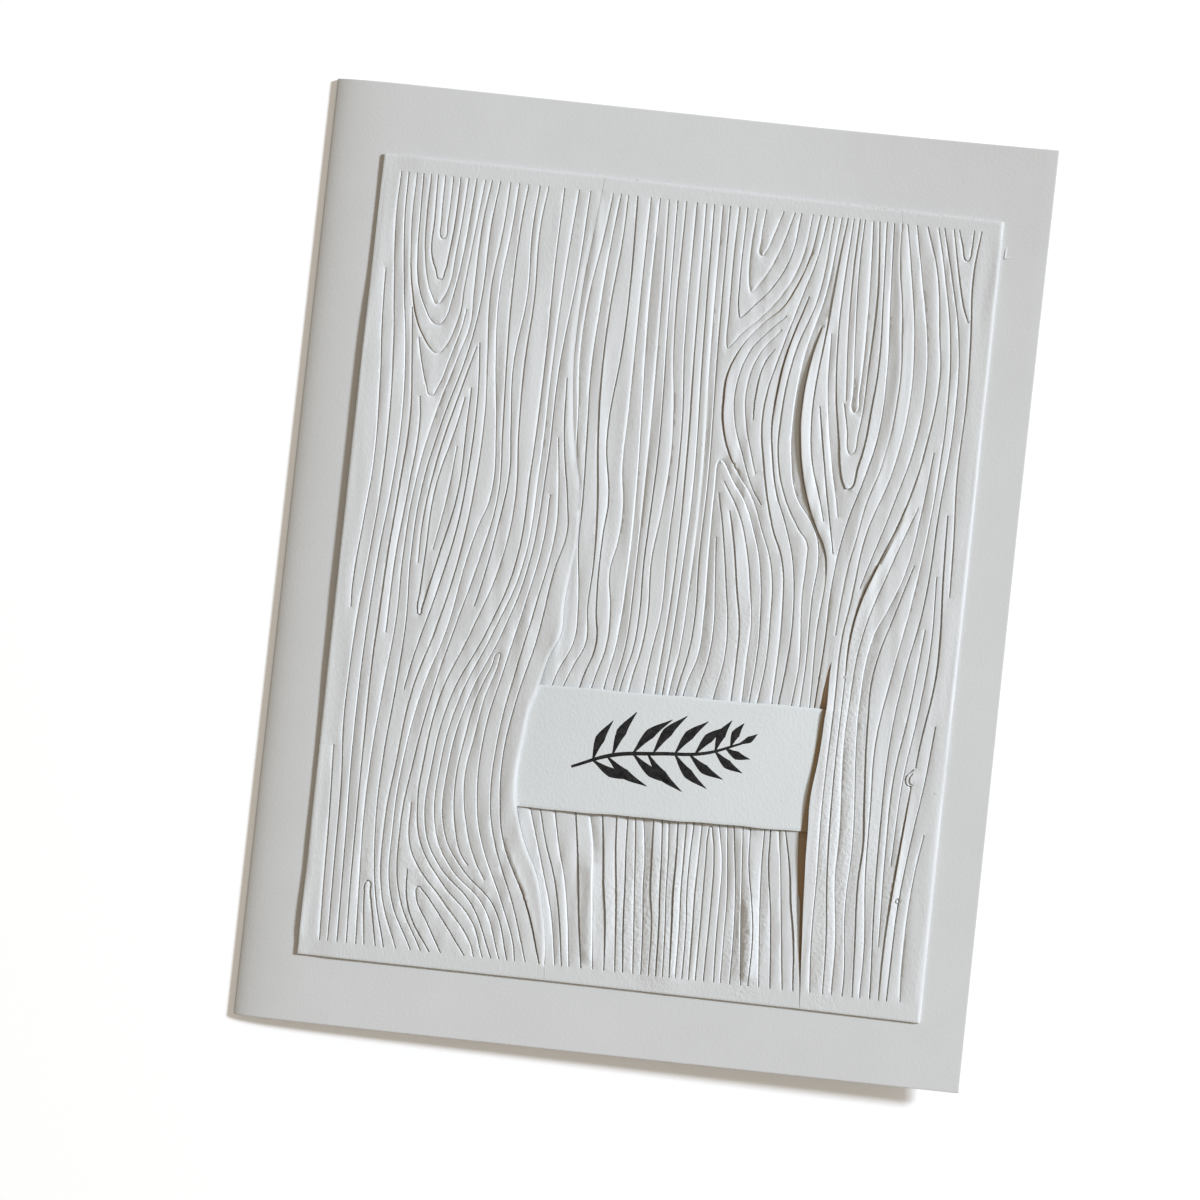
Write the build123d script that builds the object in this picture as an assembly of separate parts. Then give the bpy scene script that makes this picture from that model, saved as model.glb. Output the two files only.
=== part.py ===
from build123d import *
from math import cos, radians, sin, tan
import os

# Card, a folded sheet of heavy white stock (mm)
card_width = 107.95
card_height = 139.7
card_stock = 0.30

# Fold: a tight crease, with each leaf bowing gently away from it
crease_radius = 0.60
bow_radius = 43.0
bow_angle = 8.0
opening_angle = 1.15

# Wood grain panel, in three strips on the front leaf
panel_width = 93.0
panel_height = 119.0
panel_left = 8.0
panel_bottom = 10.0
panel_stock = 0.45
cut_kerf = 0.10

# Grain lines, pressed in as V grooves
groove_width = 0.62
groove_depth = 0.24
span_to_halve = 4.0

# Label, laid over the middle strip and tucked under the other two
label_height = 18.3
label_stock = 0.20
label_tilt = 1.15
label_left = 35.9
label_right = 84.1
label_middle = 44.4

# The grain is drawn from the card's lower left corner, on a panel of this size that starts here
drawn_size = (93.0, 119.0)
drawn_start = (8.0, 10.0)

# The two cuts between the strips, from the panel's top edge to its bottom edge
left_cut = [(41.2, 129), (40.1, 117), (39.5, 106), (39.8, 98), (41.0, 89), (42.6, 81), (42.9, 75), (42.1, 66),
            (41.8, 60.5), (39.7, 53.2), (38.1, 45), (37.8, 39), (38.6, 33.5), (42.2, 25.2), (44.2, 17), (44.9, 10)]
right_cut = [(85.9, 129), (86.0, 123), (87.4, 113), (88.1, 104), (87.6, 95), (85.4, 85.8), (83.6, 77), (82.6, 67),
             (82.3, 58), (82.0, 49), (81.4, 39), (81.7, 30), (82.3, 20), (83.0, 10)]
# Lower down the right cut gapes, so the middle strip has an edge of its own there
gape_edge = [(81.8, 58), (81.1, 53), (80.2, 44), (80.1, 35.5), (80.9, 28.5), (81.8, 20), (82.8, 10)]

# Families of grain lines: how many lines, then the first and the last of them
left_grain = [
    (2, [(10.9, 126.5), (11.0, 116), (12.4, 103), (13.1, 87), (12.5, 72), (11.4, 52), (12.1, 33), (12.5, 12.4)],
        [(12.0, 126.5), (12.3, 115), (14.2, 102), (15.0, 87), (13.9, 72), (13.0, 50), (13.4, 30), (13.9, 12.4)]),
    (1, [(14.7, 106.5), (16.0, 95), (16.1, 84), (15.2, 72), (14.6, 52), (14.7, 36), (15.3, 12.4)], None),
    (1, [(17.5, 126.5), (17.5, 120), (17.7, 117.6), (18.5, 117.6), (18.7, 120), (18.7, 126.5)], None),
    (4, [(16.4, 126.5), (16.6, 119), (17.0, 114), (17.9, 111.4), (18.9, 111.4), (19.2, 114), (19.6, 119),
         (19.8, 126.5)],
        [(13.2, 126.5), (13.4, 117), (14.6, 109.5), (17.6, 102), (19.3, 100.2), (21.6, 104.8), (22.4, 114),
         (23.5, 126.5)]),
    (1, [(16.4, 102.5), (17.2, 98), (18.4, 94), (19.3, 94), (21.2, 100), (22.8, 107)], None),
    (2, [(24.5, 126.5), (23.7, 114), (23.4, 104), (19.6, 90), (17.5, 75), (17.2, 57), (15.9, 38), (16.7, 12.4)],
        [(25.7, 126.5), (24.8, 113), (24.4, 105), (21.0, 90), (18.6, 74), (18.8, 57), (17.6, 36), (20.8, 12.4)]),
    (1, [(24.0, 94), (21.1, 80), (20.3, 66), (20.3, 62), (21.2, 62), (21.9, 66), (24.5, 80), (24.8, 95.5)], None),
    (1, [(25.6, 102.3), (25.9, 92), (25.6, 79), (23.1, 65), (19.9, 50.2)], None),
    (3, [(27.3, 126.5), (26.6, 110), (27.2, 93), (26.8, 79), (24.0, 60), (20.5, 43), (19.3, 27), (22.6, 12.4)],
        [(30.0, 126.5), (29.3, 110), (30.1, 91), (30.3, 79), (26.2, 60), (22.6, 42), (21.6, 26), (26.3, 12.4)]),
    (1, [(22.8, 33.8), (22.9, 29), (24.6, 25), (28.8, 20), (34.0, 12.4)], None),
    (4, [(33.0, 126.5), (32.5, 112), (32.4, 94), (33.0, 79), (28.8, 60), (24.3, 45), (24.2, 29), (33.4, 17.5),
         (35.5, 12.4)],
        [(39.3, 126.5), (38.4, 110), (37.4, 93), (36.9, 76), (33.3, 60), (28.3, 45), (28.0, 30), (36.4, 20),
         (39.2, 12.4)]),
    (3, [(38.0, 79), (35.1, 60), (32.8, 48), (32.2, 38), (33.4, 30), (37.8, 20), (40.3, 12.4)],
        [(38.8, 97.5), (40.9, 80), (38.6, 60), (35.5, 43), (36.7, 30), (41.5, 20), (43.7, 12.4)]),
    (1, [(17.9, 12.4), (17.1, 20.2), (17.6, 21.6), (18.3, 20.2), (19.5, 12.4)], None),
    (1, [(29.3, 12.4), (25.3, 19.5), (25.0, 21.4), (26.0, 21.2), (27.5, 19.2), (32.4, 12.4)], None),
]
middle_grain = [
    (4, [(43.9, 126.5), (42.5, 108), (42.4, 96), (43.8, 78), (44.1, 64), (41.4, 53.5), (40.2, 35), (43.4, 25),
         (46.3, 12.4)],
        [(48.4, 126.5), (48.4, 105), (48.6, 86), (48.6, 72), (48.9, 62), (47.2, 53.5), (47.0, 35), (48.5, 25),
         (50.2, 12.4)]),
    (9, [(49.8, 126.5), (49.9, 105), (50.8, 85), (50.6, 66), (49.2, 54), (49.1, 35), (51.9, 12.4)],
        [(60.3, 126.5), (60.7, 105), (61.3, 85), (61.4, 66), (60.1, 54), (60.9, 35), (62.3, 12.4)]),
    (1, [(65.7, 126.5), (65.5, 120.5), (66.2, 119.9), (68.3, 126.5)], None),
    (3, [(64.4, 126.5), (64.2, 117), (64.5, 114.3), (65.3, 114.6), (68.1, 120), (70.0, 126.5)],
        [(61.7, 126.5), (61.8, 110), (61.9, 106), (62.8, 106.2), (68.5, 113), (72.7, 126.5)]),
    (1, [(73.9, 126.5), (71.1, 115), (65.0, 107.3), (62.4, 99), (64.0, 90), (68.0, 84), (72.0, 74), (72.7, 62),
         (71.8, 36), (74.0, 12.4)], None),
    (2, [(70.3, 111.1), (65.6, 105.6), (64.0, 98), (66.0, 90), (69.5, 83)],
        [(69.8, 109.0), (66.5, 104), (65.5, 98), (66.8, 92), (68.2, 87.4)]),
    (1, [(62.6, 88.8), (62.5, 72), (62.6, 61), (61.4, 54.5), (62.3, 35), (63.3, 12.4)], None),
    (6, [(63.6, 77.4), (64.0, 70), (64.2, 60), (63.3, 52), (63.6, 35), (64.6, 12.4)],
        [(63.4, 88.2), (67.3, 82.7), (70.1, 75), (71.2, 62), (70.4, 35), (72.3, 12.4)]),
    (4, [(75.0, 126.5), (72.6, 115), (68.8, 100), (69.6, 87.5), (73.5, 75), (74.3, 64), (73.1, 36), (75.4, 12.4)],
        [(77.0, 126.5), (75.8, 115), (73.0, 98), (74.5, 85), (78.7, 76), (78.5, 62), (77.0, 36), (80.1, 12.4)]),
    (1, [(75.8, 110), (73.9, 97), (75.9, 85), (80.0, 74), (79.6, 58), (78.4, 36), (81.5, 12.4)], None),
    (1, [(77.9, 126.5), (76.8, 112), (75.7, 98), (79.0, 81.5)], None),
    (3, [(80.5, 126.5), (80.7, 113), (81.2, 103), (81.3, 98.4), (82.3, 98.4), (82.4, 103), (82.4, 113),
         (81.8, 126.5)],
        [(78.9, 126.5), (78.3, 112), (79.4, 99), (81.5, 87.6), (82.6, 87.6), (84.2, 96), (84.6, 112),
         (83.8, 126.5)]),
    (2, [(76.9, 97.5), (79.2, 85), (80.8, 77.5)], [(77.4, 108.5), (79.3, 90), (81.0, 82.6)]),
    (1, [(84.9, 126.5), (86.0, 107), (85.5, 94), (82.4, 80), (81.2, 67), (80.4, 54)], None),
]
right_grain = [
    (6, [(86.9, 126.5), (89.5, 110), (89.7, 97), (85.5, 80), (83.6, 63), (83.1, 41), (84.2, 12.4)],
        [(92.4, 126.5), (96.2, 110), (96.8, 96), (95.6, 75), (92.4, 52), (92.1, 32), (93.1, 12.4)]),
    (1, [(94.6, 126.5), (95.8, 122.6), (96.7, 122.6), (96.8, 126.5)], None),
    (1, [(97.9, 126.5), (97.6, 115), (98.3, 102), (98.2, 86), (98.8, 72.2)], None),
    (2, [(96.6, 76), (96.6, 60), (94.7, 45), (94.4, 12.4)], [(97.3, 84), (98.0, 60), (96.2, 44), (95.6, 12.4)]),
    (1, [(98.7, 53), (98.0, 45), (97.5, 26), (97.6, 12.4)], None),
]


# Turns a drawn spot into a place on the front leaf, so the grain follows the panel's size
def on_leaf(spot):
    x = panel_left + (spot[0] - drawn_start[0]) * panel_width / drawn_size[0]
    y = panel_bottom + (spot[1] - drawn_start[1]) * panel_height / drawn_size[1]
    return Vector(x - card_width / 2, y - card_height / 2)


# A drawn line as straight runs: each long span is halved, with its middle on a smooth curve
def runs_along(line):
    spots = [on_leaf(spot) for spot in line]
    runs = [spots[0]]
    for k, (here, there) in enumerate(zip(spots, spots[1:])):
        if (there - here).length > span_to_halve:
            before = spots[max(k - 1, 0)]
            after = spots[min(k + 2, len(spots) - 1)]
            runs.append((here + there) * 0.5625 - (before + after) * 0.0625)
        runs.append(there)
    return runs


# The tool that presses one grain line: a V wedge, mitred from run to run
def press(points):
    overcut = 1.15
    rim_z = panel_stock + groove_depth * (overcut - 1)
    keel_z = panel_stock - groove_depth
    left_rim = []
    right_rim = []
    keel = []
    for k, point in enumerate(points):
        ahead = (points[min(k + 1, len(points) - 1)] - points[min(k, len(points) - 2)]).normalized()
        behind = (points[max(k, 1)] - points[max(k, 1) - 1]).normalized()
        along = (ahead + behind).normalized()
        reach = groove_width / 2 * overcut / along.dot(ahead)
        out = Vector(-along.Y, along.X) * reach
        left_rim.append(Vector(point.X + out.X, point.Y + out.Y, rim_z))
        right_rim.append(Vector(point.X - out.X, point.Y - out.Y, rim_z))
        keel.append(Vector(point.X, point.Y, keel_z))
    corners = [[left_rim[0], right_rim[0], keel[0]], [left_rim[-1], right_rim[-1], keel[-1]]]
    for one, other in ((left_rim, keel), (keel, right_rim), (right_rim, left_rim)):
        for k in range(len(points) - 1):
            corners.append([one[k], one[k + 1], other[k + 1], other[k]])
    faces = [Face(Wire.make_polygon(corner)) for corner in corners]
    return Solid(Shell(faces))


# The tools for all grain lines of one strip
def grain_tools(families):
    tools = []
    for count, first, last in families:
        for line in range(count):
            share = line / max(count - 1, 1)
            blend = [(p[0] + (q[0] - p[0]) * share, p[1] + (q[1] - p[1]) * share) for p, q in zip(first, last or first)]
            tools.append(press(runs_along(blend)))
    return tools


# Card base: the outside of the folded sheet, then its inside, in the XZ plane
a = radians(bow_angle)
o = radians(opening_angle)
crease_x = -card_width / 2 + crease_radius
back_x = crease_x + (bow_radius - crease_radius) * sin(a)
crease_z = bow_radius - (bow_radius - crease_radius) * cos(a)
bow_z = crease_z - (bow_radius - crease_radius) * cos(a)
leaf_x = back_x - bow_radius * sin(o)
leaf_z = bow_z + bow_radius * cos(o)
end_x = card_width / 2 - card_stock * sin(o)
end_z = leaf_z + (end_x - leaf_x) * tan(o)
outside = [
    Line((card_width / 2, 0), (back_x, 0)),
    CenterArc((back_x, bow_radius), bow_radius, 270, -bow_angle),
    CenterArc((crease_x, crease_z), crease_radius, 270 - bow_angle, 2 * bow_angle - 180),
    CenterArc((back_x, bow_z), bow_radius, 90 + bow_angle, opening_angle - bow_angle),
    Line((leaf_x, leaf_z), (end_x, end_z)),
]
inside = [
    Line((card_width / 2, card_stock), (back_x, card_stock)),
    CenterArc((back_x, bow_radius), bow_radius - card_stock, 270, -bow_angle),
    CenterArc((crease_x, crease_z), crease_radius - card_stock, 270 - bow_angle, 2 * bow_angle - 180),
    CenterArc((back_x, bow_z), bow_radius - card_stock, 90 + bow_angle, opening_angle - bow_angle),
    Line((leaf_x + card_stock * sin(o), leaf_z - card_stock * cos(o)),
         (end_x + card_stock * sin(o), end_z - card_stock * cos(o))),
]
ends = [
    Line((card_width / 2, 0), (card_width / 2, card_stock)),
    Line((end_x, end_z), (end_x + card_stock * sin(o), end_z - card_stock * cos(o))),
]
card_base = extrude(Plane.XZ * make_face(outside + inside + ends), card_height / 2, both=True)

# The front leaf's top face, where the panel lies
leaf = Plane((0, 0, leaf_z - leaf_x * tan(o)), x_dir=(cos(o), 0, sin(o)), z_dir=(-sin(o), 0, cos(o)))

# Outlines of the three strips, flat on the leaf
x0 = panel_left - card_width / 2
x1 = x0 + panel_width
y0 = panel_bottom - card_height / 2
y1 = y0 + panel_height
kerf = Vector(cut_kerf, 0)
left_edge = runs_along(left_cut)
right_edge = runs_along(right_cut)
gape = runs_along(gape_edge)
shut = [p - kerf for p in right_edge if p.Y > gape[0].Y]
left_flat = extrude(make_face(Polyline(left_edge + [(x0, y0), (x0, y1)], close=True)), panel_stock)
right_flat = extrude(make_face(Polyline(right_edge + [(x1, y0), (x1, y1)], close=True)), panel_stock)
middle_outline = [p + kerf for p in left_edge] + (shut + gape)[::-1]
middle_flat = extrude(make_face(Polyline(middle_outline, close=True)), panel_stock)

# The label lies on the middle strip
label_start = on_leaf((label_left, label_middle))
label_end = on_leaf((label_right, label_middle))
label_place = Location(((label_start.X + label_end.X) / 2, label_start.Y, panel_stock), (0, 0, label_tilt))
label_flat = label_place * Box(label_end.X - label_start.X, label_height, label_stock,
                               align=(Align.CENTER, Align.CENTER, Align.MIN))

# The outer strips rise from their outer edges to ride over the label's ends
label_box = label_flat.bounding_box()
ride = panel_stock + label_stock
left_rise = ride / (label_box.min.X - x0)
right_rise = ride / (x1 - label_box.max.X)
left_tilt = Plane((x0, 0, 0), x_dir=(1, 0, left_rise), z_dir=(-left_rise, 0, 1))
right_tilt = Plane((x1, 0, 0), x_dir=(1, 0, -right_rise), z_dir=(right_rise, 0, 1))
left_panel = leaf * (left_tilt * (Pos(-x0, 0, 0) * (left_flat - grain_tools(left_grain))))
right_panel = leaf * (right_tilt * (Pos(-x1, 0, 0) * (right_flat - grain_tools(right_grain))))
middle_panel = leaf * (middle_flat - grain_tools(middle_grain))
label = leaf * label_flat

os.makedirs("parts", exist_ok=True)
export_step(card_base, "parts/card_base.step")
export_step(left_panel, "parts/left_panel.step")
export_step(middle_panel, "parts/middle_panel.step")
export_step(right_panel, "parts/right_panel.step")
export_step(label, "parts/label.step")
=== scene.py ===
import bpy
import math
import numpy as np
from mathutils import Matrix, Vector
from mathutils.geometry import delaunay_2d_cdt
from mathutils.kdtree import KDTree


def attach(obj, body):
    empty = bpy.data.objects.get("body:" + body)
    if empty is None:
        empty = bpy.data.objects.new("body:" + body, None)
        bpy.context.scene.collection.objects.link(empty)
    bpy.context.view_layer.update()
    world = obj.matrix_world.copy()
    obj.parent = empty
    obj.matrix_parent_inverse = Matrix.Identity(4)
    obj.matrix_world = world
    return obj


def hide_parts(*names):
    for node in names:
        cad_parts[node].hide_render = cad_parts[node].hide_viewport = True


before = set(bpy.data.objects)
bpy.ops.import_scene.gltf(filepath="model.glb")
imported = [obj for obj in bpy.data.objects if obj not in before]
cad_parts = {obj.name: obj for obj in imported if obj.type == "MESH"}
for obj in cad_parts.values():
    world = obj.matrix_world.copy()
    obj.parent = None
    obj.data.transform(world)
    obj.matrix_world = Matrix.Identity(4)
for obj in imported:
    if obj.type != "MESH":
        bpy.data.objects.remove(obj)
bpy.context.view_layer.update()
print("frame loaded")

mm = 0.001
scene = bpy.context.scene
scene.view_settings.view_transform = "Standard"

# the card as the solids have it, in mm
card = {
    "width": 107.95,
    "height": 139.7,
    "stock": 0.30,
    "openingAngle": 1.15,
    "leafHeight": 2.987,  # top of the front leaf over the card's middle
}


def deselect():
    if bpy.context.mode != "OBJECT":
        bpy.ops.object.mode_set(mode="OBJECT")
    bpy.ops.object.select_all(action="DESELECT")


def pick(obj):
    deselect()
    obj.select_set(True)
    bpy.context.view_layer.objects.active = obj


def active():
    return bpy.context.view_layer.objects.active


def addObject(name, data):
    obj = bpy.data.objects.new(name, data)
    scene.collection.objects.link(obj)
    return obj


def applyAll(obj):
    pick(obj)
    for mod in list(obj.modifiers):
        bpy.ops.object.modifier_apply(modifier=mod.name)


def readPoints(obj):
    spots = np.empty(len(obj.data.vertices) * 3)
    obj.data.vertices.foreach_get("co", spots)
    return spots.reshape(-1, 3)


def writePoints(obj, spots):
    obj.data.vertices.foreach_set("co", np.ascontiguousarray(spots).ravel())
    obj.data.update()


# drawn places are in mm from the card's lower left corner; the drawing is a hair wider than the card
drawing = {"shift": 0.389, "spread": 1.0073}


def onCard(x, y):
    x = (x + drawing["shift"]) / drawing["spread"]
    return (x - card["width"] / 2) * mm, (y - card["height"] / 2) * mm


# inverse of onCard, for rows of points in metres
def drawnAt(spots):
    x = (spots[:, 0] / mm + card["width"] / 2) * drawing["spread"] - drawing["shift"]
    return x, spots[:, 1] / mm + card["height"] / 2


# onto the tilted front leaf
def leafPlace():
    tilted = Matrix.Rotation(-math.radians(card["openingAngle"]), 4, "Y")
    return Matrix.Translation((0, 0, card["leafHeight"] * mm)) @ tilted


def putInPlace(obj, place):
    pick(obj)
    obj.matrix_world = place
    bpy.ops.object.transform_apply(location=True, rotation=True, scale=True)


# a smooth stroke through drawn points; a doubled point is a sharp tip
def addStroke(curve, points, widths=None):
    points = [tuple(point) for point in points]
    spline = curve.splines.new("BEZIER")
    spline.bezier_points.add(len(points) - 1)
    for number, spot in enumerate(points):
        knot = spline.bezier_points[number]
        knot.co = (*onCard(*spot), 0)
        if widths is not None:
            knot.radius = widths[number]
        doubled = spot in points[max(number - 1, 0):number] + points[number + 1:number + 2]
        knot.handle_left_type = "VECTOR" if doubled else "AUTO"
        knot.handle_right_type = "VECTOR" if doubled else "AUTO"


def newCurve(name):
    curve = bpy.data.curves.new(name, "CURVE")
    curve.dimensions = "3D"
    curve.resolution_u = 10
    return curve


def curveMesh(name, curve):
    pick(addObject(name, curve))
    bpy.ops.object.convert(target="MESH")
    return active()


# a set of drawn lines, made a mesh of edges
def drawLines(lines):
    curve = newCurve("lineHelper")
    for line in lines:
        addStroke(curve, line)
    return curveMesh("lineHelper", curve)


def removeHelper(obj):
    bpy.data.meshes.remove(obj.data)


# presses a sheet near a set of drawn lines, or lifts it where the depth is below zero
def pressNear(obj, drawn, reach, depth, falloff="LINEAR"):
    lines = drawLines(drawn)
    group = obj.vertex_groups.new(name="near")
    group.add(range(len(obj.data.vertices)), 1.0, "REPLACE")
    near = obj.modifiers.new("near", "VERTEX_WEIGHT_PROXIMITY")
    near.vertex_group = "near"
    near.target = lines
    near.proximity_mode = "GEOMETRY"
    near.proximity_geometry = {"EDGE"}
    near.min_dist = reach * mm
    near.max_dist = 0.0
    near.falloff_type = falloff
    push = obj.modifiers.new("push", "DISPLACE")
    push.vertex_group = "near"
    push.direction = "Z"
    push.mid_level = 0.0
    push.strength = -depth * mm
    applyAll(obj)
    obj.vertex_groups.clear()
    removeHelper(lines)


# a drawn line, by its x at heights that several lines share
def atHeights(heights, *across):
    return list(zip(across, heights))


# the grain runs between these heights
hi = 126.5
lo = 12.4
everyTen = [hi, 120, 110, 100, 90, 80, 70, 60, 50, 40, 30, 20, lo]
closeAbove = [hi, 120, 110, 105, 100, 90, 80, 70, 60, 50, 40, 30, 20, lo]
closeBelow = [hi, 115, 100, 85, 70, 60, 50, 40, 30, 25, 20, lo]

# grain of the left strip
leftGrain = [
    [(17.5, hi), (17.6, 120), (17.9, 117.3), (18.3, 117.2), (18.6, 120), (18.7, hi)],
    [(16.4, hi), (16.6, 120), (16.7, 115), (17.6, 112.5), (18.4, 111.1), (19, 112.5), (19.3, 115),
     (19.7, 120), (19.8, hi)],
    [(15.4, hi), (15.4, 120), (15.7, 115), (16.8, 110), (17.6, 108.3), (18.3, 107.4), (19, 108.3),
     (19.75, 110), (20.3, 115), (20.7, 120), (21, hi)],
    [(14.25, hi), (14.4, 120), (14.6, 115), (15.3, 110), (16.8, 106.4), (17.8, 104.9), (18.8, 104.4),
     (19.7, 105.3), (20.4, 108), (21.4, 115), (21.8, 120), (22.2, hi)],
    [(13.25, hi), (13.2, 120), (13.55, 115), (13.95, 111.6), (14.53, 108.6), (15.11, 106.2),
     (15.98, 103.9), (16.98, 102.2), (18.05, 100.8), (19.0, 100.2), (20.3, 101.4), (21.4, 104.3),
     (22, 107), (22.1, 110), (22.5, 115), (22.9, 120), (23.5, hi)],
    [(16.17, 102.2), (16.89, 99.1), (18.06, 95.3), (18.9, 93.8), (19.7, 95), (21.2, 100), (22.4, 104.5),
     (22.8, 107)],
    [(10.9, hi), (10.8, 120), (11.6, 110), (12.6, 100), (13.1, 90), (13.05, 80), (12.4, 70), (11.6, 60),
     (11.3, 50), (11.3, 45), (12, 35), (12.2, 25), (12.5, lo)],
    atHeights(everyTen, 12, 12.1, 13.1, 14.4, 14.95, 14.6, 13.75, 13.25, 13, 13.05, 13.4, 13.7, 13.9),
    [(14.7, 106.5), (15.4, 100), (16.2, 90), (15.75, 80), (15.15, 70), (14.8, 60), (14.6, 55), (14.65, 40),
     (14.8, 30), (15, 20), (15.3, lo)],
    [(17.3, 93.5), (17.7, 90), (17.1, 80), (16.3, 70), (16.1, 58.3)],
    atHeights(closeAbove, 24.5, 23.8, 23.6, 23.6, 22.3, 19.6, 17.95, 17.4, 17.4, 16.6, 15.95, 15.85, 16.3,
              16.7),
    atHeights(closeAbove, 25.75, 25.1, 24.9, 24.4, 23.5, 20.95, 19.05, 18.55, 18.9, 18.45, 17.75, 17.7,
              18.8, 20.8),
    [(24.9, 101.7), (23.25, 95), (21, 85), (19.75, 75), (19.7, 69)],
    [(24, 94), (23.25, 90), (21.05, 80), (20.65, 70), (20.5, 65), (20.45, 62), (20.75, 61.4), (21.1, 62.6),
     (21.6, 65), (22.6, 70), (24.5, 80), (24.7, 90), (24.8, 95.5)],
    [(23.6, 86.7), (23.05, 80), (21.7, 71.2)],
    [(25.3, 102.3), (25.85, 95), (25.75, 85), (24.95, 75), (22.95, 65), (20.55, 55), (19.7, 50.2)],
    [(27.3, hi), (27, 120), (26.1, 110), (26.7, 100), (27.2, 92), (26.8, 80), (25.65, 70), (23.55, 60),
     (20.9, 50), (19.8, 40), (19, 30), (19.75, 20), (22.6, lo)],
    [(28.6, hi), (28.25, 120), (27.4, 110), (27.95, 100), (29.1, 90), (29.4, 80), (27.95, 75), (26.8, 70),
     (25.1, 60), (22.3, 50), (20.75, 40), (20.3, 30), (21.05, 20), (24.8, lo)],
    atHeights(everyTen, 30, 29.5, 29.3, 29.6, 30.1, 30.45, 28.65, 26.2, 23.9, 22.3, 21.4, 22.4, 26.3),
    [(31.7, hi), (31.3, 120), (31.6, 110), (30.65, 100), (31.3, 90), (31.8, 84), (30.85, 75), (29.1, 65),
     (28.7, 63.5)],
    [(33, hi), (32.4, 120), (32.7, 110), (32.3, 100), (32.5, 90), (33.1, 80), (31.9, 70), (28.8, 60),
     (25.2, 50), (23.8, 40), (23.55, 34), (24.7, 28), (28.5, 22.5), (33.4, 17.5), (35.5, lo)],
    atHeights(closeBelow, 35.4, 35.2, 35.3, 34.95, 34.1, 31, 26.8, 25.1, 25.2, 27.8, 33.05, 36.8),
    atHeights(closeBelow, 37.6, 36.9, 36.4, 36.2, 35.2, 32, 28.15, 26.3, 26.7, 29.4, 34.8, 38),
    atHeights(closeBelow, 39.3, 38.8, 37.5, 37.25, 36.05, 33.3, 29.4, 27.5, 28, 31.15, 36.4, 39.2),
    [(31.9, 25.6), (30.8, 27), (29.7, 30), (28.8, 37), (29.6, 45), (30.55, 50), (32.3, 55), (33.2, 57),
     (33.3, 56), (31.7, 50), (30.95, 45), (30.1, 38), (31.5, 30), (33, 26.3), (34.6, 23.7)],
    [(38.2, 81), (37.9, 74), (36.3, 65), (34.2, 55), (32.3, 45), (32.3, 35), (33.35, 30), (37.8, 20),
     (39.8, 15), (40.3, lo)],
    [(38.5, 89.5), (39.5, 80), (39.6, 76), (37.9, 65), (36, 55), (34.4, 45), (34.3, 35), (35.35, 30),
     (39.4, 20), (41.9, lo)],
    [(38.8, 98.5), (39.3, 90), (40.9, 80), (41.3, 76), (40, 70), (38.6, 60), (36.4, 50), (35.4, 42),
     (35.75, 35), (36.7, 30), (41.5, 20), (44, lo)],
    [(22.6, 33.8), (23, 28), (24.4, 25), (28.8, 20), (33.5, 14.3), (34.2, lo)],
    [(10.1, 112), (10.4, 105), (11.15, 95), (11.5, 83), (11, 75), (10.4, 65), (10.5, 61.5)],
    [(10.2, 41), (10.75, 30), (11, 20), (11.3, lo)],
    [(23.1, 24), (23.45, 20), (24.5, 17), (27.6, lo)],
    [(17.9, lo), (17.15, 20), (17.2, 21.5), (17.6, 21.8), (18.05, 20), (19.6, lo)],
    [(29.3, lo), (27, 16.3), (24.8, 20.5), (25, 21.7), (25.7, 21.2), (27.5, 19.2), (32.8, lo)],
]

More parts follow.
